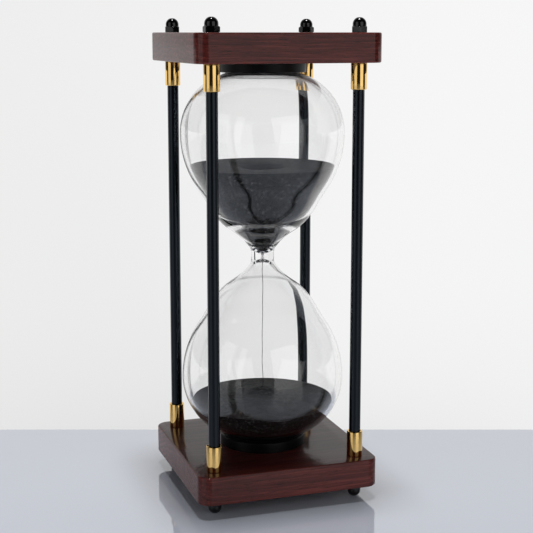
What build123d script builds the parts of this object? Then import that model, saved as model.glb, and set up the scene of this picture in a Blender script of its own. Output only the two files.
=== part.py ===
from build123d import *
import os
from math import cos, radians, sin, sqrt

# A sand glass in a square frame. Millimetres, +Z up. The origin is on the
# ground under the middle of the frame, and -Y is the front.

# --- Frame --------------------------------------------------------------------
plate_side = 130.0
plate_thickness = 20.0
plate_corner_radius = 9.0
plate_edge_chamfer = 0.8
plate_gap = 275.3
post_pitch = 103.0
post_radius = 4.0
post_bore_radius = 3.2
rod_radius = 2.95
rod_hole_radius = 3.25
rod_end_chamfer = 0.6

ferrule_radius = 5.5
ferrule_bore_radius = 4.05
ferrule_length = 18.0
ferrule_chamfer = 0.35

# --- Cap nuts, which are also the feet ----------------------------------------
nut_height = 10.0
nut_across_flats = 10.0
nut_hex_height = 4.2
nut_corner_drop = 0.7
nut_face_inset = 0.1
nut_turn_step = 17.0
dome_radius = 4.65
dome_flat_radius = 1.3
nut_bore_radius = 3.0
nut_bore_depth = 7.6
rod_reach = 7.0

# --- Seats and pads at both ends of the glass ---------------------------------
seat_radius = 30.7
seat_thickness = 7.3
seat_edge_fillet = 0.6
recess_radius = 24.6
recess_depth = 5.0
pad_radius = 24.2

# --- Glass --------------------------------------------------------------------
glass_wall = 2.6
belly_radius = 58.0
belly_height = 88.0
belly_curve_radius = 72.0
belly_lean = 25.0
shoulder_radius = 43.3
neck_radius = 8.2
neck_straight = 3.0
orifice_radius = 0.75
orifice_half_length = 2.0
fill_hole_radius = 4.0
plug_radius = 3.9
plug_length = 6.0
plug_taper = 2.0

# The wall between the neck and the belly: radius, height above the middle of
# the glass, and lean from the vertical in degrees. First the outside of the
# flare at the neck, then the cone above it.
flare_stations = [(11.4, 9.0, 39), (19.2, 16.2, 53), (26.3, 21.3, 50)]
cone_stations = [(34.5, 30.2, 37.5), (40.7, 40.0, 29)]
# The inside of the flare is a plain funnel, so the glass is thicker there.
funnel_stations = [(3.9, 3.6, 50), (7.2, 7.6, 42), (12.6, 13.2, 45), (20.8, 21.2, 48)]
neck_heading = (0, 1)
funnel_heading = (1, 0.3)

# --- Sand ---------------------------------------------------------------------
# The crater's and the mound's profiles are (radius, height over the level).
sand_gap = 0.2
upper_sand_level = 65.0
crater_bottom = (0.0, -8.0)
crater_side = (9.5, -3.2)
crater_rim = (19.0, -0.9)
crater_headings = [(1, 0.15), (1, 0)]
lower_sand_level = -105.3
mound_top = (0.0, 11.0)
mound_side = (5.0, 9.0)
mound_foot = (13.0, 5.9)
mound_headings = [(1, -0.2), (1, -0.1)]
stream_radius = 0.45

# --- Worked out ---------------------------------------------------------------
bottom_plate_z = nut_height
lower_face_z = bottom_plate_z + plate_thickness
upper_face_z = lower_face_z + plate_gap
top_z = upper_face_z + plate_thickness
middle_z = (lower_face_z + upper_face_z) / 2
glass_end = belly_height + shoulder_radius
shoulder_centre = belly_radius - shoulder_radius
belly_turn = radians(belly_lean)
belly_start_radius = belly_radius - belly_curve_radius * (1 - cos(belly_turn))
belly_start_height = belly_height - belly_curve_radius * sin(belly_turn)
belly_start = (belly_start_radius, belly_start_height, belly_lean)
belly_heading = (sin(belly_turn), cos(belly_turn))
pad_thickness = plate_gap / 2 - glass_end - (seat_thickness - recess_depth)
corners = {"front_left": (-1, -1), "front_right": (1, -1), "back_right": (1, 1), "back_left": (-1, 1)}
post_places = [(sx * post_pitch / 2, sy * post_pitch / 2) for sx, sy in corners.values()]
ends = {"lower": (lower_face_z, 1), "upper": (upper_face_z, -1)}
section_plane = Plane(origin=(0, 0, middle_z), x_dir=(1, 0, 0), z_dir=(0, -1, 0))

os.makedirs("parts", exist_ok=True)


def save(piece, name):
    """Label a finished piece and write its file."""
    piece.part.label = name
    export_step(piece.part, f"parts/{name}.step")


def shifted(stations, depth):
    """The stations moved square to the wall, towards the inside of the bulb."""
    return [(r - depth * cos(radians(a)), z + depth * sin(radians(a))) for r, z, a in stations]


def upright_plane(x, y, z, up):
    """A drawing plane through an upright axis, with its own Y pointing up (1) or down (-1)."""
    return Plane(origin=(x, y, z), x_dir=(1, 0, 0), z_dir=(0, -up, 0))


# --- Plates -------------------------------------------------------------------
for plate_name, plate_z in {"bottom_plate": bottom_plate_z, "top_plate": upper_face_z}.items():
    with BuildPart() as plate:
        with BuildSketch(Plane.XY.offset(plate_z)):
            RectangleRounded(plate_side, plate_side, plate_corner_radius)
        extrude(amount=plate_thickness)
        flat_faces = plate.faces().filter_by(Axis.Z)
        chamfer(flat_faces.edges(), plate_edge_chamfer)
        with BuildSketch(Plane.XY.offset(plate_z)):
            with Locations(*post_places):
                Circle(rod_hole_radius)
        extrude(amount=plate_thickness, mode=Mode.SUBTRACT)
    save(plate, plate_name)

# --- Posts, tie rods and ferrules ---------------------------------------------
for corner, (x, y) in zip(corners, post_places):
    with BuildPart() as post:
        with BuildSketch(Plane.XY.offset(lower_face_z)):
            with Locations((x, y)):
                Circle(post_radius)
                Circle(post_bore_radius, mode=Mode.SUBTRACT)
        extrude(amount=plate_gap)
    save(post, f"{corner}_post")

    with BuildPart() as tie_rod:
        with BuildSketch(Plane.XY.offset(bottom_plate_z - rod_reach)):
            with Locations((x, y)):
                Circle(rod_radius)
        extrude(amount=top_z - bottom_plate_z + 2 * rod_reach)
        chamfer(tie_rod.edges().filter_by(GeomType.CIRCLE), rod_end_chamfer)
    save(tie_rod, f"{corner}_tie_rod")

    for end, (face_z, up) in ends.items():
        with BuildPart() as ferrule:
            with BuildSketch(Plane.XY.offset(face_z)):
                with Locations((x, y)):
                    Circle(ferrule_radius)
                    Circle(ferrule_bore_radius, mode=Mode.SUBTRACT)
            extrude(amount=up * ferrule_length)
            outer_rims = ferrule.edges().filter_by(lambda e: e.geom_type == GeomType.CIRCLE)
            chamfer(outer_rims.group_by(SortBy.RADIUS)[-1], ferrule_chamfer)
        save(ferrule, f"{corner}_{end}_ferrule")

# --- Cap nuts -----------------------------------------------------------------
# Each nut is tightened to its own angle. The dome ends in a small flat, on
# which the glass stands.
flat_drop = dome_radius - sqrt(dome_radius**2 - dome_flat_radius**2)
dome_centre = nut_height + flat_drop - dome_radius
hex_corner_radius = nut_across_flats / 2 / cos(radians(30))
nut_sides = {"foot_nut": (bottom_plate_z, -1), "crown_nut": (top_z, 1)}
nut_turn = 0.0
for corner, (x, y) in zip(corners, post_places):
    for nut_name, (seat_z, up) in nut_sides.items():
        nut_turn += nut_turn_step
        seat_plane = Plane(origin=(x, y, seat_z), x_dir=(1, 0, 0), z_dir=(0, 0, up))
        nut_axis = Axis((x, y, seat_z), (0, 0, up))
        with BuildPart() as nut:
            with BuildSketch(seat_plane):
                RegularPolygon(nut_across_flats / 2, 6, major_radius=False, rotation=nut_turn)
            extrude(amount=nut_hex_height)
            # The hexagon's corners are turned off in a shallow cone on both faces.
            with BuildSketch(upright_plane(x, y, seat_z, up)):
                with BuildLine():
                    Polyline(
                        (0, 0),
                        (nut_across_flats / 2, 0),
                        (hex_corner_radius, nut_corner_drop / 2),
                        (hex_corner_radius, nut_hex_height - nut_corner_drop),
                        (nut_across_flats / 2 - nut_face_inset, nut_hex_height),
                        (0, nut_hex_height),
                        close=True,
                    )
                make_face()
            revolve(axis=nut_axis, mode=Mode.INTERSECT)
            with BuildSketch(upright_plane(x, y, seat_z, up)):
                with BuildLine():
                    Polyline(
                        (dome_flat_radius, nut_height),
                        (0, nut_height),
                        (0, nut_hex_height / 2),
                        (dome_radius, nut_hex_height / 2),
                        (dome_radius, dome_centre),
                    )
                    RadiusArc((dome_radius, dome_centre), (dome_flat_radius, nut_height), -dome_radius)
                make_face()
            revolve(axis=nut_axis)
            with BuildSketch(seat_plane):
                Circle(nut_bore_radius)
            extrude(amount=nut_bore_depth, mode=Mode.SUBTRACT)
        save(nut, f"{corner}_{nut_name}")

# --- Seats and pads -----------------------------------------------------------
for end, (face_z, up) in ends.items():
    with BuildPart() as seat:
        with BuildSketch(Plane.XY.offset(face_z)):
            Circle(seat_radius)
        extrude(amount=up * seat_thickness)
        with BuildSketch(Plane.XY.offset(face_z + up * seat_thickness)):
            Circle(recess_radius)
        extrude(amount=-up * recess_depth, mode=Mode.SUBTRACT)
        rim_edges = seat.edges().group_by(Axis((0, 0, 0), (0, 0, up)))[-1]
        fillet(rim_edges, seat_edge_fillet)
    save(seat, f"{end}_seat")

    with BuildPart() as pad:
        with BuildSketch(Plane.XY.offset(face_z + up * (seat_thickness - recess_depth))):
            Circle(pad_radius)
        extrude(amount=up * pad_thickness)
    save(pad, f"{end}_pad")

# --- Glass --------------------------------------------------------------------


def bulb_wall(depth, start, start_heading, near_neck):
    """One face of the wall in section, from the neck to the end's flat.

    It lies at a depth under the outside, except near the neck, where it runs
    through the points given.
    """
    stations = shifted([*cone_stations, belly_start], depth)
    belly = (belly_radius - depth, belly_height)
    headings = (start_heading, belly_heading)
    Spline(start, *near_neck, *stations, tangents=headings, tangent_scalars=(1, 1))
    RadiusArc(stations[-1], belly, depth - belly_curve_radius)
    RadiusArc(belly, (shoulder_centre, glass_end - depth), depth - shoulder_radius)


# Half a section is drawn, turned about the axis, and mirrored at the neck.
inner_end = glass_end - glass_wall
neck_end = (neck_radius, neck_straight)
orifice_end = (orifice_radius, orifice_half_length)
with BuildPart() as glass:
    with BuildSketch(section_plane):
        with BuildLine():
            bulb_wall(0, neck_end, neck_heading, shifted(flare_stations, 0))
            bulb_wall(glass_wall, orifice_end, funnel_heading, shifted(funnel_stations, 0))
            Polyline(orifice_end, (orifice_radius, 0), (neck_radius, 0), neck_end)
            Line((shoulder_centre, glass_end), (0, glass_end))
            Line((0, glass_end), (0, inner_end))
            Line((0, inner_end), (shoulder_centre, inner_end))
        make_face()
    revolve(axis=Axis.Z)
    mirror(about=Plane.XY.offset(middle_z))
    with BuildSketch(Plane.XY.offset(middle_z - glass_end)):
        Circle(fill_hole_radius)
    extrude(amount=glass_wall, mode=Mode.SUBTRACT)
save(glass, "glass")

# The filling hole is closed by a short tapered bung, flush with the end.
with BuildPart() as plug:
    with BuildSketch(Plane.XY.offset(middle_z - glass_end)):
        Circle(plug_radius)
    extrude(amount=plug_length, taper=plug_taper)
save(plug, "fill_plug")


def sand_chamber(up):
    """Half a section of the room inside one bulb, a grain's gap clear of the wall."""
    depth = glass_wall + sand_gap
    room_end = glass_end - depth
    room_start = (orifice_radius - sand_gap, orifice_half_length + sand_gap)
    with BuildSketch(upright_plane(0, 0, middle_z, up)) as room:
        with BuildLine():
            bulb_wall(depth, room_start, funnel_heading, shifted(funnel_stations, sand_gap))
            Polyline((shoulder_centre, room_end), (0, room_end), (0, room_start[1]), room_start)
        make_face()
    return room.sketch


def surface_line(points, headings, level):
    """The sand's surface in section, from the axis out past the wall."""
    line = [(radius, level + height) for radius, height in points]
    Spline(*line, (sand_reach, level), tangents=headings)
    return line[0]


# --- Sand bodies --------------------------------------------------------------
sand_reach = belly_radius + 5
crater = [crater_bottom, crater_side, crater_rim]
with BuildPart() as upper_sand:
    add(sand_chamber(1))
    revolve(axis=Axis.Z)
    with BuildSketch(section_plane):
        with BuildLine():
            low_point = surface_line(crater, crater_headings, upper_sand_level)
            Polyline((sand_reach, upper_sand_level), (sand_reach, 0), (0, 0), low_point)
        make_face()
    revolve(axis=Axis.Z, mode=Mode.INTERSECT)
save(upper_sand, "upper_sand")

mound = [mound_top, mound_side, mound_foot]
with BuildPart() as lower_sand:
    add(sand_chamber(-1))
    revolve(axis=Axis.Z)
    with BuildSketch(section_plane):
        with BuildLine():
            peak = surface_line(mound, mound_headings, lower_sand_level)
            Polyline((sand_reach, lower_sand_level), (sand_reach, -glass_end), (0, -glass_end), peak)
        make_face()
    revolve(axis=Axis.Z, mode=Mode.INTERSECT)
    with BuildSketch(Plane.XY.offset(middle_z - glass_end)):
        Circle(fill_hole_radius + sand_gap)
    extrude(amount=plug_length + sand_gap, mode=Mode.SUBTRACT)
save(lower_sand, "lower_sand")

# The thread of falling sand runs from the funnel to the top of the mound.
stream_top = orifice_half_length + sand_gap
stream_foot = lower_sand_level + mound_top[1]
with BuildPart() as falling_sand:
    with BuildSketch(Plane.XY.offset(middle_z + stream_foot)):
        Circle(stream_radius)
    extrude(amount=stream_top - stream_foot)
save(falling_sand, "falling_sand")
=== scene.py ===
# %% [markdown]
# # A sand glass in a square frame
#
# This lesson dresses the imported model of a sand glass. The frame that is loaded
# first gives every place and size. Each step then says what a piece or a finish
# is on the real object, how it could be made, and why one way was chosen.
# Everything is in metres, +Z is up, and the front looks along -Y.

# %% Load the frame
import bpy
from math import acos, cos, degrees, pi, radians, sin, sqrt
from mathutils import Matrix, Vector, noise


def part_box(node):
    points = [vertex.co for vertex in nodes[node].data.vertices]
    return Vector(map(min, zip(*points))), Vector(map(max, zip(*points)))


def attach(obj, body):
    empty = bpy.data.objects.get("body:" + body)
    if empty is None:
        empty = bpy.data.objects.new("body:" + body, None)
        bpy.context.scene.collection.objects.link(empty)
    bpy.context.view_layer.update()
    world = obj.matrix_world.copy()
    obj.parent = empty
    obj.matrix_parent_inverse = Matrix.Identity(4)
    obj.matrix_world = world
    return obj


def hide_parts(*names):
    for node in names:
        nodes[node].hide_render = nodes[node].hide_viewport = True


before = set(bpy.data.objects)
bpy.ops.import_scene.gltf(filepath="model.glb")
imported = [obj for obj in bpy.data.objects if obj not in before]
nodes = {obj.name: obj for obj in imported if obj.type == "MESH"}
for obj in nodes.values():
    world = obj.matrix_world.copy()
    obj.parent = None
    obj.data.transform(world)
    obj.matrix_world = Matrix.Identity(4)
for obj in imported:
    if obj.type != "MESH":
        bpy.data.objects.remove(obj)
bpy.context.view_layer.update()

# %% [markdown]
# The main measures are read from the CAD nodes, so that nothing has to be
# fitted. What a box can't tell, such as the glass's wall, is named where it is
# needed.

# %% Measures
MM = 0.001
lower_plate_low, lower_plate_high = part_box("bottom_plate")
upper_plate_low, upper_plate_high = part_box("top_plate")
lower_face = lower_plate_high.z
upper_face = upper_plate_low.z
middle = (lower_face + upper_face) / 2
board_half = (lower_plate_high.z - lower_plate_low.z) / 2
board_core = upper_face + board_half - middle
glass_low, glass_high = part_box("glass")
glass_end = (glass_high.z - glass_low.z) / 2
belly_radius = (glass_high.x - glass_low.x) / 2
corners = ("front_left", "front_right", "back_right", "back_left")
ends = (("lower", lower_face, False), ("upper", upper_face, True))
print("middle of the glass at", round(middle, 4), "half height", round(glass_end, 4))

# %% [markdown]
# Posts, nuts and ferrules stand on the same four axes, so two small helpers
# read a node's middle and the radius of a round node.

# %% Places of nodes
def node_centre(node):
    """The middle of a CAD node's box."""
    low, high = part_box(node)
    return (low + high) / 2


def node_radius(node):
    """Half the width of a round CAD node."""
    low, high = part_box(node)
    return (high.x - low.x) / 2


for corner in corners:
    print(corner, "post at", [round(value, 4) for value in node_centre(f"{corner}_post")])

# %% [markdown]
# ## Helpers for making pieces
#
# An operator acts on all that is selected, and the loaded nodes are selected,
# so each piece starts with a clean selection. A piece keeps its object at the
# origin and its place in its mesh, so that finishes can read real places.

# %% Selection and places
def start_clean():
    """Leave edit mode and deselect everything."""
    if bpy.context.mode != "OBJECT":
        bpy.ops.object.mode_set(mode="OBJECT")
    bpy.ops.object.select_all(action="DESELECT")


def choose(*objects):
    """Select these objects alone, and make the first one active."""
    start_clean()
    for chosen in objects:
        chosen.select_set(True)
    bpy.context.view_layer.objects.active = objects[0]


def settle(piece):
    """Put the object's place, turn and scale into its mesh."""
    choose(piece)
    bpy.ops.object.transform_apply(location=True, rotation=True, scale=True)


# %% [markdown]
# Spinning and cutting leave doubled points. They are merged first, and then
# every face is turned to look outwards. Edges that turn by less than a given
# angle are shaded smooth, and sharper ones stay crisp.

# %% Mending and shading
merge_distance = 1e-6


def mend_faces(piece):
    """Merge doubled points and make every face look outwards."""
    choose(piece)
    bpy.ops.object.mode_set(mode="EDIT")
    bpy.ops.mesh.select_all(action="SELECT")
    bpy.ops.mesh.remove_doubles(threshold=merge_distance)
    bpy.ops.mesh.normals_make_consistent(inside=False)
    bpy.ops.object.mode_set(mode="OBJECT")


def smooth_below(piece, angle):
    """Shade smooth across edges that turn by less than this angle."""
    choose(piece)
    bpy.ops.object.shade_smooth_by_angle(angle=radians(angle))


# %% [markdown]
# A repeated piece is modelled once at the origin and copied with a mesh of its
# own. A finished piece gets its material, rides on the frame's one body, and
# stands for its CAD node.

# %% Copies and finished pieces
def copy_of(piece, name, move=(0, 0, 0), turn=0.0, flip=False):
    """A copy with its own mesh, turned about Z, turned over if asked, and moved."""
    choose(piece)
    bpy.ops.object.duplicate()
    copy = bpy.context.object
    copy.name = name
    copy.rotation_euler = (pi if flip else 0.0, 0.0, turn)
    copy.location = move
    settle(copy)
    return copy


def finish_piece(piece, material, slot, *replaced):
    """Give a piece its finish, its body and the CAD node it stands for."""
    piece.data.materials.clear()
    piece.data.materials.append(material)
    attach(piece, "root")
    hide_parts(*replaced)
    print(piece.name, "stands for", *replaced, "with", len(piece.data.polygons), "faces")


# %% [markdown]
# Most parts of a sand glass are turned: tubes, sleeves, discs and the blown
# glass. Like on a lathe, an outline is drawn beside the axis and then spun
# round it. The outline starts as one vertex, made by merging a tiny plane, and
# is extruded from point to point. Where it starts and ends on the axis, or
# where it closes on itself, the spin gives a closed solid.

# %% The lathe
seed_size = MM


def turned(name, outline, steps, smooth=35):
    """Spin an outline of (radius, height) points about the Z axis."""
    start_clean()
    bpy.ops.mesh.primitive_plane_add(size=seed_size)
    piece = bpy.context.object
    piece.name = name
    bpy.ops.object.mode_set(mode="EDIT")
    bpy.ops.mesh.select_mode(type="VERT")
    bpy.ops.mesh.select_all(action="SELECT")
    bpy.ops.mesh.merge(type="CENTER")
    radius, height = outline[0]
    bpy.ops.transform.translate(value=(radius, 0, height))
    for (radius, height), (next_radius, next_height) in zip(outline, outline[1:]):
        step = (next_radius - radius, 0, next_height - height)
        bpy.ops.mesh.extrude_region_move(TRANSFORM_OT_translate={"value": step})
    bpy.ops.mesh.select_all(action="SELECT")
    bpy.ops.mesh.spin(steps=steps, angle=2 * pi, center=(0, 0, 0), axis=(0, 0, 1))
    bpy.ops.object.mode_set(mode="OBJECT")
    mend_faces(piece)
    smooth_below(piece, smooth)
    return piece


# %% [markdown]
# Rounded rims, domes and shoulders are round stretches of an outline. Their
# angles are counted in degrees from the outward direction.

# %% Round stretches
def arc(centre, radius, start, end, steps):
    """Points of an arc in an outline."""
    points = []
    for i in range(steps + 1):
        angle = radians(start + (end - start) * i / steps)
        points.append((centre[0] + radius * cos(angle), centre[1] + radius * sin(angle)))
    return points


print("ends of a quarter round:", arc((0, 0), 1, 0, 90, 1))

# %% [markdown]
# ## Helpers for finishes
#
# Every finish is a small tree of nodes. The first helper adds a node, sets its
# properties and fills its named inputs with a number, a colour or a link. Two
# more make the commonest nodes, a colour ramp and a mix of two colours.

# %% Nodes and colours
def add_node(tree, kind, inputs=None, **settings):
    """Add a node, set its properties, and fill or link its named inputs."""
    made = tree.nodes.new(kind)
    for key, value in settings.items():
        setattr(made, key, value)
    for key, value in (inputs or {}).items():
        if isinstance(value, bpy.types.NodeSocket):
            tree.links.new(value, made.inputs[key])
        else:
            made.inputs[key].default_value = value
    return made


def ramp(tree, factor, stops):
    """A colour ramp: stops are (position, grey or colour)."""
    made = add_node(tree, "ShaderNodeValToRGB", {"Fac": factor})
    elements = made.color_ramp.elements
    while len(elements) < len(stops):
        elements.new(1.0)
    for element, (position, colour) in zip(elements, stops):
        element.position = position
        grey = (colour, colour, colour) if isinstance(colour, float) else colour
        element.color = (*grey, 1.0)
    return made.outputs["Color"]


def blend_colours(tree, factor, a, b):
    """Mix two colours."""
    made = add_node(tree, "ShaderNodeMix", data_type="RGBA")
    for socket, value in zip((made.inputs[0], made.inputs[6], made.inputs[7]), (factor, a, b)):
        if isinstance(value, bpy.types.NodeSocket):
            tree.links.new(value, socket)
        elif isinstance(value, tuple):
            socket.default_value = (*value, 1.0)
        else:
            socket.default_value = value
    return made.outputs[2]


# %% [markdown]
# Masks and heights are made by arithmetic, one step for each node.

# %% Arithmetic
def calculate(tree, operation, a, b=0.5, clamp=False):
    """One step of arithmetic."""
    return add_node(tree, "ShaderNodeMath", {0: a, 1: b}, operation=operation, use_clamp=clamp).outputs[0]


def spread(tree, value, low, high):
    """Stretch a 0 to 1 value over a range."""
    return add_node(tree, "ShaderNodeMapRange", {"Value": value, "To Min": low, "To Max": high}).outputs[0]


# %% [markdown]
# An effect that several finishes use is a group with named inputs and outputs.
# The surface shader itself stays in each material.

# %% Shared groups
def new_group(name, inputs, outputs):
    """A shared effect with named sockets: {name: default} in, {name: socket kind} out."""
    tree = bpy.data.node_groups.new(name, "ShaderNodeTree")
    for label, default in inputs.items():
        kind = "NodeSocketVector" if default is None else "NodeSocketFloat"
        socket = tree.interface.new_socket(label, in_out="INPUT", socket_type=kind)
        if default is not None:
            socket.default_value = default
    for label, kind in outputs.items():
        tree.interface.new_socket(label, in_out="OUTPUT", socket_type=kind)
    return tree, tree.nodes.new("NodeGroupInput").outputs, tree.nodes.new("NodeGroupOutput").inputs


def use_group(tree, group, **inputs):
    """Place a shared effect in a material and give its outputs."""
    made = add_node(tree, "ShaderNodeGroup", node_tree=group)
    for label, value in inputs.items():
        socket = made.inputs[label.replace("_", " ")]
        if isinstance(value, bpy.types.NodeSocket):
            tree.links.new(value, socket)
        else:
            socket.default_value = value
    return made.outputs


# %% [markdown]
# A material starts with its shader's plain values and with the object's own
# coordinates, which are places in metres here. The last two helpers link a
# bump and any other inputs to the shader.

# %% Materials
def new_material(name, **plain):
    """A material with its shader, and the object's own coordinates."""
    material = bpy.data.materials.new(name)
    material.use_nodes = True
    tree = material.node_tree
    shader = tree.nodes["Principled BSDF"]
    for label, value in plain.items():
        shader.inputs[label.replace("_", " ")].default_value = value
    place = add_node(tree, "ShaderNodeTexCoord").outputs["Object"]
    return material, tree, shader, place


def bumped(tree, shader, height, strength, distance):
    """Feed a height into the shader's normal."""
    bump = add_node(tree, "ShaderNodeBump", {"Height": height, "Strength": strength, "Distance": distance})
    tree.links.new(bump.outputs["Normal"], shader.inputs["Normal"])


def feed(tree, shader, **sources):
    """Link sources to the shader's named inputs."""
    for label, source in sources.items():
        tree.links.new(source, shader.inputs[label.replace("_", " ")])


# %% [markdown]
# ### Effects that several finishes share
#
# Handling leaves faint smudges on every polished face. They are soft patches
# of noise, and each finish decides how much rougher they make it.

# %% Smudges
smudges, given, result = new_group(
    "handling_smudges",
    {"Place": None, "Scale": 40.0, "Cover": 0.5},
    {"Mask": "NodeSocketFloat"},
)
patches = add_node(smudges, "ShaderNodeTexNoise", {
    "Vector": given["Place"], "Scale": given["Scale"], "Detail": 5.0, "Roughness": 0.6, "Distortion": 0.8})
patch_edge = 3.5
cut = calculate(smudges, "SUBTRACT", patches.outputs["Fac"], given["Cover"])
smudges.links.new(calculate(smudges, "MULTIPLY", cut, patch_edge, clamp=True), result["Mask"])
print("smudges:", len(smudges.nodes), "nodes")

# %% [markdown]
# Grains, foam cells and the texture of sprayed paint are all small cells at
# some size. One group gives a tone for each cell and a height that falls
# towards the cell's rim.

# %% Small cells
cells, given, result = new_group(
    "small_cells",
    {"Place": None, "Cell size": 0.0004},
    {"Tone": "NodeSocketFloat", "Height": "NodeSocketFloat"},
)
per_metre = calculate(cells, "DIVIDE", 1.0, given["Cell size"])
cell_pattern = add_node(cells, "ShaderNodeTexVoronoi", {"Vector": given["Place"], "Scale": per_metre})
tone = add_node(cells, "ShaderNodeSeparateColor", {"Color": cell_pattern.outputs["Color"]}).outputs[0]
cells.links.new(tone, result["Tone"])
cells.links.new(calculate(cells, "SUBTRACT", 1.0, cell_pattern.outputs["Distance"]), result["Height"])
print("small cells:", len(cells.nodes), "nodes")

# %% [markdown]
# ### Stained wood under gloss lacquer
#
# The plates are cut from boards whose grain runs from left to right. Wood is
# a solid, so its pattern is worked out in three dimensions. Growth rings are
# sheets round an axis far below the board, and they wander a little. The same
# pattern then gives long lines on the front and short ones on the end grain.

# %% Growth rings
ring_spacing = 0.0035
axis_depth = 0.11
ring_edge = 2.2
grain, given, result = new_group(
    "wood_grain",
    {"Place": None, "Ring spacing": ring_spacing, "Wander": 0.012},
    {"Tone": "NodeSocketFloat", "Pores": "NodeSocketFloat", "Height": "NodeSocketFloat"},
)


def drawn_out(along, across, detail, roughness=0.55):
    """Noise with one scale along the grain and another across it."""
    scale = (along, across, across)
    scaled = add_node(grain, "ShaderNodeMapping", {"Vector": given["Place"], "Scale": scale})
    return add_node(grain, "ShaderNodeTexNoise", {
        "Vector": scaled.outputs[0], "Scale": 1.0, "Detail": detail,
        "Roughness": roughness}).outputs["Fac"]


wander = calculate(grain, "MULTIPLY", drawn_out(9, 30, 3.0), given["Wander"])
split = add_node(grain, "ShaderNodeSeparateXYZ", {"Vector": given["Place"]})
below = calculate(grain, "ADD", split.outputs["Z"], axis_depth)
square = calculate(grain, "MULTIPLY", split.outputs["Y"], split.outputs["Y"])
square = calculate(grain, "ADD", square, calculate(grain, "MULTIPLY", below, below))
ring_radius = calculate(grain, "ADD", calculate(grain, "SQRT", square), wander)
ring_count = calculate(grain, "DIVIDE", ring_radius, given["Ring spacing"])
rings = calculate(grain, "POWER", calculate(grain, "FRACT", ring_count), ring_edge)
print("rings every", ring_spacing, "m round an axis", axis_depth, "m below the ground")

# %% [markdown]
# Fibres and streaks are noise drawn out along the grain, clouds are wider
# stains, and pores are short dark dashes. The tone is a weighted sum of them.

# %% Fibres and pores
fibres = drawn_out(40, 1000, 4.0, 0.7)
streaks = drawn_out(10, 360, 3.0, 0.6)
clouds = drawn_out(8, 28, 2.0)
tone_offset = 0.33
pore_level = 0.62
pore_edge = 9.0
tone = 0.0
for part, weight in ((rings, 0.13), (fibres, 0.62), (streaks, 0.50), (clouds, 0.35)):
    tone = calculate(grain, "ADD", calculate(grain, "MULTIPLY", part, weight), tone)
grain.links.new(calculate(grain, "SUBTRACT", tone, tone_offset, clamp=True), result["Tone"])
dashes = drawn_out(130, 2100, 1.0)
pores = calculate(
    grain, "MULTIPLY", calculate(grain, "SUBTRACT", dashes, pore_level), pore_edge, clamp=True)
grain.links.new(pores, result["Pores"])
grain.links.new(calculate(grain, "SUBTRACT", fibres, pores), result["Height"])
print("grain:", len(grain.nodes), "nodes")

# %% [markdown]
# The finish is a dark red stain under clear lacquer. The flat faces get painted
# shade, a darker colour mixed in, so they are darker than the sides. The material
# tells a flat face from a side by the point's height.

# %% Stain and lacquer
wood, tree, shader, place = new_material(
    "walnut_gloss", Coat_Weight=0.50, Coat_Roughness=0.11, Coat_IOR=1.5, Specular_IOR_Level=0.05)
pattern = use_group(tree, grain, Place=place)
stain = ramp(tree, pattern["Tone"], [
    (0.22, (0.050, 0.0100, 0.0080)),
    (0.46, (0.145, 0.0270, 0.0215)),
    (0.70, (0.300, 0.0620, 0.0480)),
])
pore_share = calculate(tree, "MULTIPLY", pattern["Pores"], 0.75)
stain = blend_colours(tree, pore_share, stain, (0.009, 0.003, 0.0026))
height = add_node(tree, "ShaderNodeSeparateXYZ", {"Vector": place}).outputs["Z"]
from_middle = calculate(tree, "ABSOLUTE", calculate(tree, "SUBTRACT", height, middle))
from_core = calculate(tree, "ABSOLUTE", calculate(tree, "SUBTRACT", from_middle, board_core))
face_skin = 0.1 * MM
flat_face = calculate(tree, "GREATER_THAN", from_core, board_half - face_skin)
# Painted shade: the flat faces are mixed towards a near-black brown.
painted_shade_on_flat_faces = calculate(tree, "MULTIPLY", flat_face, 0.62)
stain = blend_colours(tree, painted_shade_on_flat_faces, stain, (0.020, 0.0055, 0.0048))
feed(tree, shader, Base_Color=stain, Roughness=spread(tree, pattern["Tone"], 0.50, 0.36))
bumped(tree, shader, pattern["Height"], 0.25, 0.00015)
print("wood:", len(tree.nodes), "nodes")

# %% [markdown]
# ### Polished brass
#
# The ferrules are turned brass, polished and lacquered. A metal's colour is
# its reflection, so it needs little paint: faint turning lines round the
# sleeve, a slightly deeper tone in places, and smudges that dull the shine.

# %% Brass
brass, tree, shader, place = new_material("polished_brass", Metallic=1.0)
around = add_node(tree, "ShaderNodeMapping", {"Vector": place, "Scale": (2.0, 2.0, 9000.0)}).outputs[0]
turning_lines = add_node(tree, "ShaderNodeTexNoise", {
    "Vector": around, "Scale": 1.0, "Detail": 2.0}).outputs["Fac"]
dull = use_group(tree, smudges, Place=place, Scale=90.0, Cover=0.5)["Mask"]
colour = blend_colours(tree, dull, (1.0, 0.66, 0.235), (0.90, 0.53, 0.165))
shine = spread(tree, turning_lines, 0.035, 0.075)
rough = calculate(tree, "ADD", shine, calculate(tree, "MULTIPLY", dull, 0.05))
feed(tree, shader, Base_Color=colour, Roughness=rough)
bumped(tree, shader, turning_lines, 0.02, 0.00001)
print("brass:", len(tree.nodes), "nodes")

# %% [markdown]
# ### Black surfaces
#
# The posts are sprayed a satin black with a fine orange peel, and the cap nuts
# are dipped in a smoother gloss black. The seats are moulded plastic, the plug
# is rubber, and the pads are foam. They differ only in tone, cells, bump and
# roughness, so one function makes all five.

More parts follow.
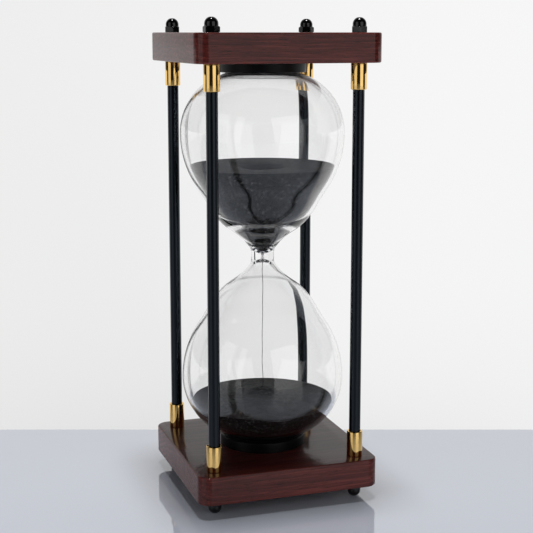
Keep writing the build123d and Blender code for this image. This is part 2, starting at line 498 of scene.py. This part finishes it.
# %% Blacks
def black_finish(name, colour, lighter, rough, cell, bump, specular=0.5, tint=(1.0, 1.0, 1.0, 1.0)):
    """A black surface: cells for its texture and smudges for its use."""
    material, tree, shader, place = new_material(name, Specular_IOR_Level=specular, Specular_Tint=tint)
    texture = use_group(tree, cells, Place=place, Cell_size=cell)
    worn = use_group(tree, smudges, Place=place, Scale=70.0, Cover=0.5)["Mask"]
    feed(tree, shader, Base_Color=blend_colours(tree, worn, colour, lighter),
         Roughness=spread(tree, worn, rough[0], rough[1]))
    bumped(tree, shader, texture["Height"], bump, cell * 0.2)
    print(name, "with cells of", cell, "m")
    return material


post_black = black_finish(
    "satin_black_paint", (0.0022, 0.0027, 0.0038), (0.0045, 0.005, 0.0065),
    (0.22, 0.30), 0.0006, 0.08, 0.4, (0.72, 0.86, 1.0, 1.0))
nut_black = black_finish(
    "gloss_black_paint", (0.0020, 0.0020, 0.0024), (0.005, 0.005, 0.0055),
    (0.12, 0.22), 0.0010, 0.05)
seat_black = black_finish(
    "moulded_black_plastic", (0.0028, 0.0028, 0.0036), (0.005, 0.005, 0.006),
    (0.38, 0.50), 0.0004, 0.25, 0.16)
plug_rubber = black_finish(
    "dark_rubber", (0.020, 0.018, 0.017), (0.035, 0.032, 0.030), (0.60, 0.75), 0.0007, 0.20)
pad_foam = black_finish(
    "closed_cell_foam", (0.007, 0.007, 0.008), (0.014, 0.014, 0.015),
    (0.80, 0.92), 0.0007, 0.9, 0.2)

# %% [markdown]
# ### Zinc-plated steel
#
# The tie rods are threaded all along. They are hidden in the tubes, so the
# thread is only a bump, with a ridge about every millimetre.

# %% Threaded rod
rod_steel, tree, shader, place = new_material("zinc_plated_steel", Metallic=1.0)
thread_pitch = MM
thread = add_node(
    tree, "ShaderNodeTexWave", {"Vector": place, "Scale": 1.0 / thread_pitch / (2 * pi) * 2},
    bands_direction="Z")
spangle = use_group(tree, cells, Place=place, Cell_size=0.0012)["Tone"]
feed(tree, shader,
     Base_Color=blend_colours(tree, spangle, (0.52, 0.53, 0.54), (0.66, 0.67, 0.70)),
     Roughness=spread(tree, spangle, 0.25, 0.40))
bumped(tree, shader, thread.outputs["Fac"], 0.8, 0.0004)
print("thread pitch", thread_pitch, "m")

# %% [markdown]
# ### Dark sand
#
# Dark sand is a mix of black, grey and a few pale grains. Grains of about half
# a millimetre each take their own tone, clumps and slow drifts vary it, and
# the grains' round tops make a fine bump.

# %% Sand
sand, tree, shader, place = new_material("dark_sand", Specular_IOR_Level=0.12)
grains = use_group(tree, cells, Place=place, Cell_size=0.00055)
coarse = use_group(tree, cells, Place=place, Cell_size=0.0015)
drift = add_node(tree, "ShaderNodeTexNoise", {"Vector": place, "Scale": 45.0, "Detail": 3.0}).outputs["Fac"]
mixed = calculate(tree, "ADD", calculate(tree, "MULTIPLY", grains["Tone"], 0.44),
                  calculate(tree, "MULTIPLY", coarse["Tone"], 0.46))
mixed = calculate(tree, "ADD", mixed, calculate(tree, "MULTIPLY", drift, 0.20), clamp=True)
colour = ramp(tree, mixed, [
    (0.15, (0.0012, 0.0012, 0.0014)),
    (0.50, (0.0050, 0.0050, 0.0055)),
    (0.78, (0.022, 0.022, 0.023)),
    (0.95, (0.11, 0.108, 0.106)),
])
feed(tree, shader, Base_Color=colour, Roughness=spread(tree, grains["Tone"], 0.50, 0.85))
bumped(tree, shader, grains["Height"], 0.7, 0.00025)
print("sand:", len(tree.nodes), "nodes")

# %% [markdown]
# ### Blown glass
#
# Clear glass shows itself by its reflections and by what it bends. Blown
# glass is never quite even, so a very slow, very low wave in the surface
# moves the reflections a little. It is clear all through, so its transmission
# is one plain number.

# %% Glass
clear_glass, tree, shader, place = new_material(
    "blown_clear_glass", Transmission_Weight=1.0, IOR=1.47, Roughness=0.0)
slow_wave = add_node(tree, "ShaderNodeTexNoise", {
    "Vector": place, "Scale": 22.0, "Detail": 1.0, "Roughness": 0.4}).outputs["Fac"]
film = use_group(tree, smudges, Place=place, Scale=28.0, Cover=0.55)["Mask"]
feed(tree, shader, Base_Color=blend_colours(tree, film, (1.0, 1.0, 1.0), (0.985, 0.989, 0.988)))
bumped(tree, shader, slow_wave, 0.10, 0.00025)
print("glass: IOR", round(shader.inputs["IOR"].default_value, 3))

# %% [markdown]
# ## The wooden plates
#
# A plate is a flat block with rounded edges and four drilled holes. Two helpers
# do the work: one selects the edges that pass a test, for a bevel, and one
# cuts or joins a piece with another by a boolean, and throws the tool away.

# %% Edges and cuts
def select_edges(piece, wanted):
    """In edit mode, select the edges whose two ends pass a test."""
    bpy.ops.mesh.select_mode(type="EDGE")
    bpy.ops.mesh.select_all(action="DESELECT")
    bpy.ops.object.mode_set(mode="OBJECT")
    points = piece.data.vertices
    for edge in piece.data.edges:
        a, b = (points[i].co for i in edge.vertices)
        edge.select = wanted(a, b)
    bpy.ops.object.mode_set(mode="EDIT")


def cut_with(piece, tool, operation):
    """Cut or join a piece with a tool, and throw the tool away."""
    choose(piece)
    modifier = piece.modifiers.new("cut", "BOOLEAN")
    modifier.operation = operation
    modifier.solver = "EXACT"
    modifier.object = tool
    bpy.ops.object.modifier_apply(modifier=modifier.name)
    bpy.data.objects.remove(tool)


# %% [markdown]
# A cube is set to the CAD node's size. Its four upright edges are rounded
# widely, and then the rims of both faces get a small round that catches the
# light. Four cylinders cut the holes for the tie rods, as a drill would.

# %% Plates
corner_round = 9.0 * MM
rim_round = 1.1 * MM
hole_radius = 3.25 * MM
drill_length = 50.0 * MM
upright = 5.0 * MM
level = 0.1 * MM


def wooden_plate(name, node):
    """A rounded board with four holes."""
    low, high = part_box(node)
    start_clean()
    bpy.ops.mesh.primitive_cube_add(size=1, location=(low + high) / 2, scale=high - low)
    plate = bpy.context.object
    plate.name = name
    settle(plate)
    bpy.ops.object.mode_set(mode="EDIT")
    select_edges(plate, lambda a, b: abs(a.z - b.z) > upright)
    bpy.ops.mesh.bevel(offset=corner_round, segments=14, affect="EDGES")
    select_edges(plate, lambda a, b: abs(a.z - b.z) < level)
    bpy.ops.mesh.bevel(offset=rim_round, segments=5, affect="EDGES")
    bpy.ops.object.mode_set(mode="OBJECT")
    for corner in corners:
        centre = node_centre(f"{corner}_post")
        start_clean()
        bpy.ops.mesh.primitive_cylinder_add(
            vertices=48, radius=hole_radius, depth=drill_length,
            location=(centre.x, centre.y, (low.z + high.z) / 2))
        cut_with(plate, bpy.context.object, "DIFFERENCE")
    smooth_below(plate, 32)
    finish_piece(plate, wood, "wood", node)


wooden_plate("wood_plate_lower", "bottom_plate")
wooden_plate("wood_plate_upper", "top_plate")

# %% [markdown]
# ## Posts and ferrules
#
# A post is a black tube, and a ferrule is a short brass sleeve round each end
# of it. Both are turned once at the axis and copied to the four corners. The
# ferrule's rims are broken by a small round, which gives it a bright line.

# %% Posts and ferrules
tube_bore = 3.2 * MM
sleeve_bore = 4.05 * MM
sleeve_round = 0.45 * MM
tube_radius = node_radius("front_left_post")
sleeve_radius = node_radius("front_left_lower_ferrule")
sleeve_low, sleeve_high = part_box("front_left_lower_ferrule")
sleeve_length = sleeve_high.z - sleeve_low.z
tube_half = (upper_face - lower_face) / 2

tube_outline = [
    (tube_bore, -tube_half),
    (tube_radius, -tube_half),
    (tube_radius, tube_half),
    (tube_bore, tube_half),
    (tube_bore, -tube_half),
]
master_tube = turned("post_tube", tube_outline, 72)
sleeve_outline = [
    (sleeve_bore, 0.0),
    *arc((sleeve_radius - sleeve_round, sleeve_round), sleeve_round, -90, 0, 4),
    *arc((sleeve_radius - sleeve_round, sleeve_length - sleeve_round), sleeve_round, 0, 90, 4),
    (sleeve_bore + sleeve_round / 2, sleeve_length),
    (sleeve_bore, sleeve_length - sleeve_round / 2),
    (sleeve_bore, 0.0),
]
master_sleeve = turned("ferrule", sleeve_outline, 96)

for corner in corners:
    centre = node_centre(f"{corner}_post")
    tube = copy_of(master_tube, f"{corner}_post_tube", move=centre)
    finish_piece(tube, post_black, "post_metal", f"{corner}_post")
    for end, height, flip in ends:
        sleeve = copy_of(master_sleeve, f"{corner}_{end}_brass", (centre.x, centre.y, height), flip=flip)
        finish_piece(sleeve, brass, "ferrule_brass", f"{corner}_{end}_ferrule")
for master in (master_tube, master_sleeve):
    bpy.data.objects.remove(master)

# %% [markdown]
# ## Cap nuts
#
# A cap nut is a hexagon with a domed cap and a blind hole. The hexagon starts
# as a cylinder with six sides, and its edges are broken a little.

# %% Hexagon
nut_low, nut_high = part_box("front_left_crown_nut")
nut_height = nut_high.z - nut_low.z
hex_height = 4.2 * MM
hex_flats = 10.0 * MM
hex_corner = hex_flats / 2 / cos(pi / 6)
edge_break = 0.12 * MM

start_clean()
bpy.ops.mesh.primitive_cylinder_add(
    vertices=6, radius=hex_corner, depth=hex_height,
    location=(0, 0, hex_height / 2), rotation=(0, 0, pi / 6))
master_nut = bpy.context.object
master_nut.name = "cap_nut"
settle(master_nut)
bpy.ops.object.mode_set(mode="EDIT")
bpy.ops.mesh.select_all(action="SELECT")
bpy.ops.mesh.bevel(offset=edge_break, segments=2, affect="EDGES")
bpy.ops.object.mode_set(mode="OBJECT")
print("hexagon", hex_flats, "m across flats, nut", round(nut_height, 4), "m high")

# %% [markdown]
# A turned blank that is wider than the flats but narrower at both ends trims
# the corners, which leaves the curved chamfers of a real nut. The turned dome
# is then joined to it, and the blind hole is cut last. The dome's top is a
# small flat, because the object stands on it.

# %% Chamfers, dome and bore
face_radius = hex_flats / 2 - 0.25 * MM
trim_radius = hex_corner + 0.02 * MM
trim_rise = 0.4 * MM
trim_drop = 0.75 * MM
dome_radius = 4.65 * MM
dome_flat = 1.3 * MM
collar_fillet = 0.35 * MM
nut_bore = 3.0 * MM
nut_bore_depth = 7.6 * MM
spare = MM
trim_outline = [
    (0.0, -spare),
    (face_radius, 0.0),
    (trim_radius, trim_rise),
    (trim_radius, hex_height - trim_drop),
    (face_radius, hex_height),
    (0.0, hex_height + spare),
]
cut_with(master_nut, turned("trim_blank", trim_outline, 96), "INTERSECT")
flat_drop = dome_radius - sqrt(dome_radius**2 - dome_flat**2)
dome_centre = nut_height + flat_drop - dome_radius
dome_top = degrees(acos(dome_flat / dome_radius))
dome_outline = [
    (0.0, hex_height / 2),
    (dome_radius, hex_height / 2),
    (dome_radius, hex_height + collar_fillet),
    *arc((0.0, dome_centre), dome_radius, 0, dome_top, 18),
    (0.0, nut_height),
]
cut_with(master_nut, turned("dome_blank", dome_outline, 64), "UNION")
bore_outline = [(0.0, -spare), (nut_bore, -spare), (nut_bore, nut_bore_depth), (0.0, nut_bore_depth)]
cut_with(master_nut, turned("bore_blank", bore_outline, 32), "DIFFERENCE")
mend_faces(master_nut)
smooth_below(master_nut, 28)
print("one nut:", len(master_nut.data.polygons), "faces")

# %% [markdown]
# Nuts are tightened by hand and stop at odd angles, so each copy is turned a
# little further than the one before. The lower four are turned over.

# %% Eight nuts
nut_turn = 17.0
turns = 0
for corner in corners:
    centre = node_centre(f"{corner}_post")
    for kind, seat, flip in (("foot", lower_plate_low.z, True), ("crown", upper_plate_high.z, False)):
        turns += 1
        nut = copy_of(
            master_nut, f"{corner}_{kind}_cap", (centre.x, centre.y, seat),
            turn=radians(nut_turn * turns), flip=flip)
        finish_piece(nut, nut_black, "nut_black", f"{corner}_{kind}_nut")
bpy.data.objects.remove(master_nut)

# %% [markdown]
# ## Seats and pads
#
# Each end of the glass stands in a black disc with a shallow recess. The disc
# is turned. Its outline goes up the rim, over two rounds and down into the
# recess, and the lower edge is broken a little.

# %% Seat
seat_low, seat_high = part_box("lower_seat")
seat_thickness = seat_high.z - seat_low.z
seat_radius = node_radius("lower_seat")
seat_round = 0.8 * MM
seat_chamfer = 0.3 * MM
recess_radius = 24.6 * MM
recess_depth = 5.0 * MM
seat_outline = [
    (0.0, 0.0),
    (seat_radius - seat_chamfer, 0.0),
    (seat_radius, seat_chamfer),
    *arc((seat_radius - seat_round, seat_thickness - seat_round), seat_round, 0, 90, 6),
    *arc((recess_radius + seat_round, seat_thickness - seat_round), seat_round, 90, 180, 6),
    (recess_radius, seat_thickness - recess_depth),
    (0.0, seat_thickness - recess_depth),
]
master_seat = turned("seat", seat_outline, 128)
print("seat radius", round(seat_radius, 4), "thickness", round(seat_thickness, 4))

# %% [markdown]
# A foam pad lies between the seat and the glass, and takes the shape of the
# glass: it is thinnest under the flat end and rises round it. So its top
# follows the glass's shoulder, a little lower.

# %% Pad
pad_low, pad_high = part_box("lower_pad")
pad_bottom = pad_low.z - lower_face
pad_top = pad_high.z - lower_face
pad_edge = node_radius("lower_pad")
pad_chamfer = 0.6 * MM
rim_width = 1.6 * MM
rise_share = 0.9
clearance = 0.05 * MM
shoulder_radius = 43.3 * MM
shoulder_centre = belly_radius - shoulder_radius
lean = (pad_edge - rim_width - shoulder_centre) / shoulder_radius
pad_outline = [
    (0.0, pad_bottom),
    (pad_edge - pad_chamfer, pad_bottom),
    (pad_edge, pad_bottom + pad_chamfer),
    (pad_edge, pad_top + 0.1 * MM),
    (pad_edge - 0.9 * MM, pad_top + 0.55 * MM),
]
for i in range(9):
    across = lean * (1 - i / 8)
    rise = shoulder_radius * (1 - sqrt(1 - across**2))
    height = pad_top + rise_share * rise - clearance
    pad_outline.append((shoulder_centre + shoulder_radius * across, height))
pad_outline.append((0.0, pad_top - clearance))
master_pad = turned("pad", pad_outline, 96)
print("pad from", round(pad_bottom, 4), "to", round(pad_top, 4), "above the plate")

# %% [markdown]
# The upper seat and pad are the lower ones turned over.

# %% Both ends
for end, height, flip in ends:
    seat = copy_of(master_seat, f"{end}_seat_disc", (0, 0, height), flip=flip)
    finish_piece(seat, seat_black, "seat_black", f"{end}_seat")
    pad = copy_of(master_pad, f"{end}_foam_pad", (0, 0, height), flip=flip)
    finish_piece(pad, pad_foam, "pad_foam", f"{end}_pad")
for master in (master_seat, master_pad):
    bpy.data.objects.remove(master)

# %% [markdown]
# ## The glass
#
# Glass is blown from one tube and drawn in at the middle. Its wall has two
# faces, and both have to be there for light to bend as it should. A face is
# given by stations: a radius, a height from the neck's middle and the wall's
# lean from the vertical. Near the neck the outside flares and the inside is a
# funnel. Further up the inside is the outside's curve, a wall deeper.

# %% Stations of the wall
wall = 2.6 * MM
belly_height = 88.0 * MM
belly_curve = 72.0 * MM
belly_lean = 25.0
belly_start = (
    belly_radius - belly_curve * (1 - cos(radians(belly_lean))),
    belly_height - belly_curve * sin(radians(belly_lean)),
    belly_lean,
)


def in_millimetres(*stations):
    """Stations typed as (radius mm, height mm, lean in degrees), in metres."""
    return [(radius * MM, height * MM, lean) for radius, height, lean in stations]


flare = in_millimetres((8.2, 3.0, 0), (11.4, 9.0, 38), (19.2, 16.2, 53), (26.3, 21.3, 51))
cone = in_millimetres((34.5, 30.2, 37), (40.7, 40.0, 28.8)) + [belly_start]
tip = ((0.9, 2.05, 80), (3.9, 3.6, 47))
funnel = in_millimetres(*tip, (7.2, 7.6, 41), (12.6, 13.2, 45), (20.8, 21.2, 48))
even_funnel = in_millimetres(*tip, (7.4, 7.9, 41), (13.2, 13.4, 50), (24.6, 22.9, 50))
print("belly starts at radius", round(belly_start[0], 4), "height", round(belly_start[1], 4))

# %% [markdown]
# Hot glass takes smooth shapes, so a cubic joins every two stations and keeps
# the lean of both. The belly and the shoulder are plain arcs.

# %% Curves of the wall
def sunk(station, depth):
    """A station moved square to the wall, into the bulb."""
    radius, height, lean = station
    return (radius - depth * cos(radians(lean)), height + depth * sin(radians(lean)), lean)


def swept(stops, steps=9):
    """A smooth curve through stations."""
    points = []
    for (r0, h0, lean0), (r1, h1, lean1) in zip(stops, stops[1:]):
        chord = sqrt((r1 - r0) ** 2 + (h1 - h0) ** 2)
        for i in range(steps):
            t = i / steps
            a, b = 2 * t**3 - 3 * t**2 + 1, -2 * t**3 + 3 * t**2
            c, d = (t**3 - 2 * t**2 + t) * chord, (t**3 - t**2) * chord
            radius = a * r0 + b * r1 + c * sin(radians(lean0)) + d * sin(radians(lean1))
            height = a * h0 + b * h1 + c * cos(radians(lean0)) + d * cos(radians(lean1))
            points.append((radius, height))
    points.append(stops[-1][:2])
    return points


def bulb_face(depth, near_neck):
    """One face of the wall, from points near the neck up to the flat of the end."""
    stops = near_neck + [sunk(station, depth) for station in cone]
    belly = arc((belly_radius - belly_curve, belly_height), belly_curve - depth, -belly_lean, 0, 16)
    shoulder = arc((shoulder_centre, belly_height), shoulder_radius - depth, 0, 90, 30)
    return swept(stops) + belly[1:] + shoulder[1:]


print("outside:", len(bulb_face(0.0, flare)), "points from the neck to the end")

# %% [markdown]
# The outline goes down the outside of both bulbs, into the filling hole at
# the lower end, and back up the inside through the neck's narrow hole. The
# lower funnel is a little more even, because a wall that thickens quickly
# draws a dark line there. Clear glass lets nearly all light through, so it
# casts no shadow here.

# %% Blown glass
orifice_radius = 0.75 * MM
orifice_half = 2.0 * MM
fill_hole = 4.0 * MM


def raised(points, centre, up=1):
    """Points measured from the neck, put at their height above the ground."""
    return [(radius, centre + up * height) for radius, height in points]


outside = bulb_face(0.0, flare)
inside = [(orifice_radius, orifice_half)] + bulb_face(wall, funnel)
upper_outside = raised(outside, middle)
lower_outside = raised(outside, middle, -1)
upper_inside = raised(inside, middle)
lower_inside = raised([(orifice_radius, orifice_half)] + bulb_face(wall, even_funnel), middle, -1)
glass_outline = (
    [(0.0, middle + glass_end)] + upper_outside[::-1] + lower_outside + [(fill_hole, middle - glass_end)]
    + [(fill_hole, middle - glass_end + wall)] + lower_inside[::-1] + upper_inside
    + [(0.0, middle + glass_end - wall)]
)
glass = turned("blown_glass", glass_outline, 168, smooth=80)
finish_piece(glass, clear_glass, "clear_glass", "glass")
glass.visible_shadow = False

# %% [markdown]
# ## The sand
#
# Sand fills the bulb to a level. Its body follows the inside of the glass, a
# fifth of a millimetre away. Both bodies need the room's radius at a level.
# Grains never lie quite even, so noise moves the free surface a little.

# %% Room and surface
sand_gap = 0.2 * MM
unevenness = 0.35 * MM
quiet_rim = 2 * MM
room = bulb_face(wall + sand_gap, [sunk(stop, sand_gap) for stop in funnel[1:]])


def radius_at(points, height):
    """The room's radius where it crosses a height, going along its points."""
    for (r0, h0), (r1, h1) in zip(points, points[1:]):
        if min(h0, h1) <= height <= max(h0, h1) and h0 != h1:
            return r0 + (r1 - r0) * (height - h0) / (h1 - h0)


def roughen(piece, surface_height, reach):
    """Move the free surface up or down by smooth noise, short of the glass."""
    for vertex in piece.data.vertices:
        radius = sqrt(vertex.co.x**2 + vertex.co.y**2)
        off_surface = abs(vertex.co.z - middle - surface_height(radius))
        if radius < reach and off_surface < MM / 10:
            lift = noise.noise(vertex.co * 90) + 0.5 * noise.noise(vertex.co * 260)
            vertex.co.z += unevenness * lift


print("room: widest", round(max(radius for radius, height in room), 4), "m")

# %% [markdown]
# The upper sand runs out through the neck, so its middle sinks in a shallow
# crater. It is turned from the throat up along the glass, and back over the
# crater to the axis.

# %% Upper sand
upper_level = 65.0 * MM
crater_depth = 8.0 * MM
crater_radius = 19.0 * MM


def bed_height(radius):
    """The height of the upper sand's surface over the neck's middle."""
    return upper_level - crater_depth / (1 + (radius / crater_radius * 1.6) ** 4)


rim_radius = radius_at(room, upper_level)
body = [point for point in room if point[1] < upper_level]
surface = []
for i in range(41):
    radius = rim_radius * (1 - i / 40)
    surface.append((radius, bed_height(radius)))
throat = (orifice_radius - sand_gap, orifice_half + sand_gap)
upper_outline = raised([(0.0, throat[1]), throat] + body + surface, middle)
upper_sand = turned("upper_sand_bed", upper_outline, 128, smooth=60)
roughen(upper_sand, bed_height, rim_radius - quiet_rim)
finish_piece(upper_sand, sand, "sand", "upper_sand")

# %% [markdown]
# The lower sand is a wide, flat heap with a small steeper mound where the
# thread falls, and the falling grains knock a dimple into its tip.

# %% Lower sand
lower_level = -105.3 * MM
mound_height = 4.6 * MM
mound_radius = 13.0 * MM
heap_height = 6.4 * MM
dimple_depth = 1.8 * MM
dimple_radius = 3.2 * MM
steepness = 1.2
mirrored_room = [(radius, -height) for radius, height in room]
below_neck = 20
heap_radius = radius_at(mirrored_room[below_neck:], lower_level)


def heap_surface(radius):
    """The height of the lower sand's surface over the neck's middle."""
    peak = mound_height * max(0.0, 1 - radius / mound_radius) ** steepness
    slope = heap_height * max(0.0, 1 - radius / heap_radius) ** steepness
    dimple = dimple_depth / (1 + (radius / dimple_radius) ** 4)
    return lower_level + peak + slope - dimple


body = [point for point in mirrored_room if point[1] < lower_level]
surface = []
for i in range(51):
    radius = heap_radius * i / 50
    surface.append((radius, heap_surface(radius)))
lower_outline = raised(surface + body + [(0.0, -(glass_end - wall - sand_gap))], middle)
lower_sand = turned("lower_sand_heap", lower_outline, 128, smooth=60)
roughen(lower_sand, heap_surface, heap_radius - quiet_rim)
finish_piece(lower_sand, sand, "sand", "lower_sand")

# %% [markdown]
# The falling thread is thinner than the hole it leaves, and it breaks up a
# little as it falls. It is turned with a radius that wavers. Then its points
# sway sideways, by nothing at the neck and by up to a millimetre lower down.

# %% Falling thread
thread_radius = 0.19 * MM
waver = 0.35
sway = 0.9 * MM
sway_starts = 0.02
thread_top = orifice_half + sand_gap
thread_foot = lower_level + heap_height + mound_height - 2.0 * MM
thread_outline = [(0.0, middle + thread_top)]
for i in range(90):
    height = thread_top + (thread_foot - thread_top) * i / 89
    radius = thread_radius * (1 + waver * noise.noise((0.0, 7.3, height * 900)))
    thread_outline.append((radius, middle + height))
thread_outline.append((0.0, middle + thread_foot))
falling = turned("sand_thread", thread_outline, 14, smooth=60)
for vertex in falling.data.vertices:
    fall = max(0.0, middle - vertex.co.z)
    drift = noise.noise((3.1, 0.0, vertex.co.z * 60))
    vertex.co.x += sway * drift * min(1.0, fall / sway_starts)
finish_piece(falling, sand, "sand", "falling_sand")

# %% [markdown]
# ## What stays as CAD
#
# The tie rods run inside the tubes, and the plug is under the sand. Their
# shapes are already right, so they keep their CAD meshes and only get a
# finish.

# %% Hidden pieces
hidden = [(f"{corner}_tie_rod", rod_steel) for corner in corners] + [("fill_plug", plug_rubber)]
for node, finish in hidden:
    mesh = nodes[node].data
    mesh.materials.clear()
    mesh.materials.append(finish)
print("kept as CAD:", [node for node, finish in hidden])

# %% [markdown]
# ## Studio
#
# The camera stands as high as the top plate and looks a little down, so that
# the top plate is seen edge on and the bottom plate's top is seen too. Its
# heading sets how the rest of the studio is turned.

# %% Camera
camera_place = Vector((-0.2719, -0.8260, upper_plate_high.z))
camera_heading = 18.41
heading = radians(camera_heading)
rightward = (cos(heading), -sin(heading), 0.0)
forward = (sin(heading), cos(heading), 0.0)
camera_pitch = 9.55
camera_data = bpy.data.cameras.new("studio_camera")
camera_data.lens = 83.3
camera_data.sensor_width = 36.0
camera_data.shift_y = -0.05
camera = bpy.data.objects.new("studio_camera", camera_data)
camera.location = camera_place
camera.rotation_euler = (radians(90 - camera_pitch), 0, -heading)
bpy.context.collection.objects.link(camera)
bpy.context.scene.camera = camera
print("camera at", [round(value, 3) for value in camera_place], "lens", camera_data.lens, "mm")

# %% [markdown]
# ### Table
#
# The sand glass stands on a pale, glossy table with a slim rounded edge. Its
# back edge lies a little behind the sand glass, square to the camera's
# heading. It is so smooth that it mirrors the lower plate.

# %% Table
table_edge = 0.115
table_width = 4.0
table_depth = 2.0
table_drop = 0.010
table_round = 0.0008
start_clean()
bpy.ops.mesh.primitive_cube_add(
    size=1, location=(0, table_edge - table_depth / 2, -table_drop / 2),
    scale=(table_width, table_depth, table_drop))
table = bpy.context.object
table.name = "table_top"
settle(table)
bpy.ops.object.mode_set(mode="EDIT")
bpy.ops.mesh.select_all(action="SELECT")
bpy.ops.mesh.bevel(offset=table_round, segments=3, affect="EDGES")
bpy.ops.object.mode_set(mode="OBJECT")
table.rotation_euler.z = -heading
settle(table)
table_finish, tree, shader, place = new_material(
    "pale_gloss_table", Roughness=0.05, Specular_IOR_Level=0.6, Coat_Weight=1.0, Coat_Roughness=0.04)
mottle = add_node(tree, "ShaderNodeTexNoise", {
    "Vector": place, "Scale": 12.0, "Detail": 2.0}).outputs["Fac"]
pale = blend_colours(tree, mottle, (0.740, 0.790, 0.905), (0.760, 0.810, 0.925))
feed(tree, shader, Base_Color=pale)
table.data.materials.append(table_finish)
print("table: back edge", table_edge, "m behind the middle")

# %% [markdown]
# ### White wall and paper
#
# Behind the table, a sheet of white paper runs back to a white wall. Both
# glow evenly and a little brighter on the right. One group gives their tone from
# a direction, and the paper's glow is darkened near the table by painted shade.

# %% Backdrop tone
backdrop, given, result = new_group("backdrop_tone", {"Direction": None}, {"Tone": "NodeSocketFloat"})
sideways = add_node(
    backdrop, "ShaderNodeVectorMath", {0: given["Direction"], 1: rightward},
    operation="DOT_PRODUCT").outputs["Value"]
tone = add_node(backdrop, "ShaderNodeMapRange", {
    "Value": sideways, "From Min": -0.25, "From Max": 0.20, "To Min": 0.855, "To Max": 0.925},
    interpolation_type="SMOOTHSTEP").outputs[0]
backdrop.links.new(tone, result["Tone"])
print("backdrop:", len(backdrop.nodes), "nodes")

# %% Paper behind the table
paper_size = 80.0
shade_reach = 0.1
start_clean()
bpy.ops.mesh.primitive_plane_add(
    size=paper_size, location=(0, paper_size / 2 + table_edge, -2 * table_drop))
sweep = bpy.context.object
sweep.name = "white_sweep"
settle(sweep)
sweep.rotation_euler.z = -heading
settle(sweep)
sweep_finish, tree, shader, place = new_material(
    "white_paper", Base_Color=(0.0, 0.0, 0.0, 1.0), Specular_IOR_Level=0.0,
    Emission_Color=(1.0, 1.0, 1.0, 1.0))
outward = add_node(tree, "ShaderNodeVectorMath", {0: place}, operation="NORMALIZE").outputs["Vector"]
distance = add_node(tree, "ShaderNodeVectorMath", {0: place}, operation="LENGTH").outputs["Value"]
nearness = calculate(tree, "DIVIDE", shade_reach, distance, clamp=True)
# Painted shade: the paper's glow is darker close to the table.
painted_paper_shade = ramp(tree, nearness, [(0.0, 1.0), (0.12, 0.98), (0.40, 0.91), (0.87, 0.78)])
wall_tone = use_group(tree, backdrop, Direction=outward)["Tone"]
glow = calculate(tree, "MULTIPLY", wall_tone, painted_paper_shade)
feed(tree, shader, Emission_Strength=glow)
sweep.data.materials.append(sweep_finish)
print("paper:", paper_size, "m square")

# %% [markdown]
# ### Lights
#
# Two wide soft boxes stand left and right of the camera with a dark gap
# between them, which gives the brass its stripes and the glass its two window
# shapes. A small box straight above lights the table in front. The top plate
# shades everything below it from that one.

# %% Lights
def soft_box(name, bearing, distance, width, height, centre_height, radiance):
    """A rectangular light that looks at the glass. Bearing is from the camera's side, to the right."""
    angle = radians(bearing - camera_heading)
    data = bpy.data.lights.new(name, "AREA")
    data.shape = "RECTANGLE"
    data.size = width
    data.size_y = height
    data.energy = radiance * pi * width * height
    light = bpy.data.objects.new(name, data)
    light.location = (distance * sin(angle), -distance * cos(angle), centre_height)
    aim = Vector((0, 0, middle)) - light.location
    light.rotation_euler = aim.to_track_quat("-Z", "Y").to_euler()
    bpy.context.collection.objects.link(light)
    print(name, round(data.energy, 2), "W")


soft_box("soft_box_left", bearing=-49, distance=1.5, width=1.15, height=1.3,
         centre_height=0.55, radiance=0.76)
soft_box("soft_box_right", bearing=37, distance=1.5, width=1.20, height=1.3,
         centre_height=0.55, radiance=0.96)
soft_box("soft_box_above", bearing=0, distance=0.03, width=0.25, height=0.25,
         centre_height=1.9, radiance=78.0)

# %% [markdown]
# ### Room
#
# The wall behind the object is bright, and the room is dark at both sides and
# behind the camera. What the camera sees, straight or through the glass, is
# the wall's own tone. What the surfaces reflect is a wall that fades sideways.

# %% World
world = bpy.data.worlds.new("white_wall_room")
bpy.context.scene.world = world
world.use_nodes = True
tree = world.node_tree
background = tree.nodes["Background"]
direction = add_node(tree, "ShaderNodeTexCoord").outputs["Generated"]
facing = add_node(
    tree, "ShaderNodeVectorMath", {0: direction, 1: forward}, operation="DOT_PRODUCT").outputs["Value"]
wall_share = add_node(tree, "ShaderNodeMapRange", {
    "Value": facing, "From Min": 0.25, "From Max": 0.97, "To Min": 0.015, "To Max": 0.80},
    interpolation_type="SMOOTHSTEP").outputs[0]
rays = add_node(tree, "ShaderNodeLightPath").outputs
bounces = calculate(tree, "ADD", rays["Diffuse Depth"], rays["Glossy Depth"])
unbounced = calculate(tree, "LESS_THAN", bounces, 0.5)
through_glass = calculate(tree, "MULTIPLY", rays["Is Transmission Ray"], unbounced)
seen = calculate(tree, "MAXIMUM", rays["Is Camera Ray"], through_glass)
tone = use_group(tree, backdrop, Direction=direction)["Tone"]
brightness = add_node(
    tree, "ShaderNodeMix", {0: seen, 2: wall_share, 3: tone}, data_type="FLOAT").outputs[0]
tree.links.new(brightness, background.inputs["Strength"])
background.inputs["Color"].default_value = (1.0, 1.0, 1.0, 1.0)
bpy.context.scene.view_settings.view_transform = "Standard"
print("room:", len(tree.nodes), "nodes")
